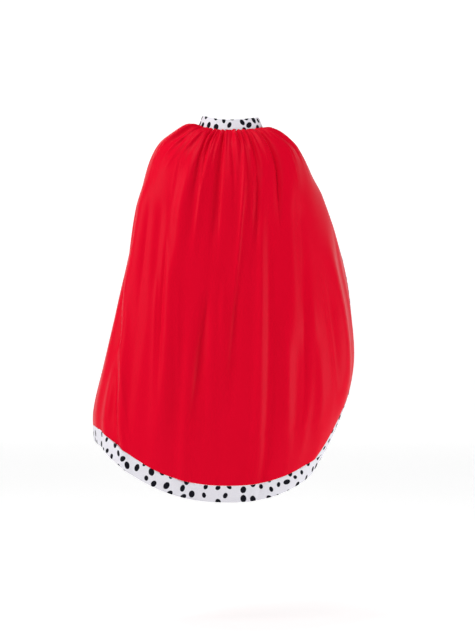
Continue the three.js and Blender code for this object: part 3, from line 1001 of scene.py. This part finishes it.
for pad, tape in (("fastener_loop_pad", loop_tape), ("fastener_hook_pad", hook_tape)):
    pad_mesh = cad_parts[pad].data
    for i in range(len(pad_mesh.materials)):
        pad_mesh.materials[i] = tape


# Stage, light and camera, in metres.
CAMERA_AT = (-0.01836, 4.0, -0.4069)
SENSOR_HEIGHT = 24.0
MM_PER_PIXEL = 2.16
PHOTO_HEIGHT = 642
FLOOR_Z = -1.074
SWEEP_WIDTH = 30.0
SWEEP_FRONT = 12.0
SWEEP_BEHIND = 7.0
SWEEP_BEND = 2.0
SWEEP_HEIGHT = 6.0
SWEEP_GLOW = 0.5
SWEEP_GREY = (0.8, 0.8, 0.8, 1)
SWEEP_ROUGH = 0.9
SWEEP_STEPS = 16
WHITE = (1, 1, 1, 1)


def sweep_profile():
    """The sweep's section on y and z: flat, bent up far away, then upright."""
    profile = [(SWEEP_FRONT, FLOOR_Z)]
    for turn in np.linspace(0, np.pi / 2, SWEEP_STEPS + 1):
        out = SWEEP_BEHIND + SWEEP_BEND * math.sin(turn)
        profile.append((-out, FLOOR_Z + SWEEP_BEND * (1 - math.cos(turn))))
    profile.append((profile[-1][0], FLOOR_Z + SWEEP_HEIGHT))
    return profile


def sweep():
    """A pale floor that bends up far behind the cape into a plain backdrop."""
    profile = sweep_profile()
    half = SWEEP_WIDTH / 2
    points = [(side * half, y, z) for y, z in profile for side in (-1, 1)]
    faces = [(2 * i, 2 * i + 1, 2 * i + 3, 2 * i + 2) for i in range(len(profile) - 1)]
    mesh = bpy.data.meshes.new("sweep")
    mesh.from_pydata(points, [], faces)
    mesh.polygons.foreach_set("use_smooth", np.ones(len(faces), bool))
    material, tree, shader = new_material("pale_sweep")
    shader.inputs["Base Color"].default_value = SWEEP_GREY
    shader.inputs["Roughness"].default_value = SWEEP_ROUGH
    shader.inputs["Specular IOR Level"].default_value = 0.0
    shader.inputs["Emission Color"].default_value = WHITE
    shader.inputs["Emission Strength"].default_value = SWEEP_GLOW
    mesh.materials.append(material)
    obj = bpy.data.objects.new("sweep", mesh)
    bpy.context.scene.collection.objects.link(obj)


def lamp(name, kind, at, energy, size):
    """A lamp aimed at the cape's middle. Size is the sun's angle, or another lamp's width."""
    data = bpy.data.lights.new(name, kind)
    data.energy = energy
    if kind == "SUN":
        data.angle = size
    else:
        data.shape = "DISK"
        data.size = size
    obj = bpy.data.objects.new(name, data)
    obj.location = at
    obj.rotation_euler = (Vector(LIT_MIDDLE) - Vector(at)).to_track_quat("-Z", "Y").to_euler()
    bpy.context.scene.collection.objects.link(obj)


SKY_STRENGTH = 0.25
KEY_STRENGTH = 0.6
KEY_FROM = (0.9, 3.3, 2.4)
KEY_ANGLE = math.radians(22)
TOP_FROM = (0.8, 0.9, 2.4)
TOP_WATTS = 46
TOP_SIZE = 1.6
LEFT_WATTS = 24
RIGHT_WATTS = 26
LEFT_FROM = (2.45, 0.6, 0.6)
RIGHT_FROM = (-2.45, 0.55, -0.5)
SIDE_SIZE = 1.2
LIT_MIDDLE = (0.0, 0.0, -0.35)


def studio():
    world = bpy.data.worlds.new("studio")
    world.use_nodes = True
    background = world.node_tree.nodes["Background"]
    background.inputs["Color"].default_value = WHITE
    background.inputs["Strength"].default_value = SKY_STRENGTH
    bpy.context.scene.world = world
    lamp("key", "SUN", KEY_FROM, KEY_STRENGTH, KEY_ANGLE)
    lamp("top", "AREA", TOP_FROM, TOP_WATTS, TOP_SIZE)
    lamp("left_side", "AREA", LEFT_FROM, LEFT_WATTS, SIDE_SIZE)
    lamp("right_side", "AREA", RIGHT_FROM, RIGHT_WATTS, SIDE_SIZE)


def camera():
    data = bpy.data.cameras.new("camera")
    data.sensor_fit = "VERTICAL"
    data.sensor_height = SENSOR_HEIGHT
    data.lens = CAMERA_AT[1] * SENSOR_HEIGHT / (PHOTO_HEIGHT * MM_PER_PIXEL * MM)
    obj = bpy.data.objects.new("camera", data)
    obj.location = CAMERA_AT
    obj.rotation_euler = (math.radians(90), 0, math.radians(180))
    bpy.context.scene.collection.objects.link(obj)
    bpy.context.scene.camera = obj


sweep()
studio()
camera()
bpy.context.scene.view_settings.view_transform = "Standard"

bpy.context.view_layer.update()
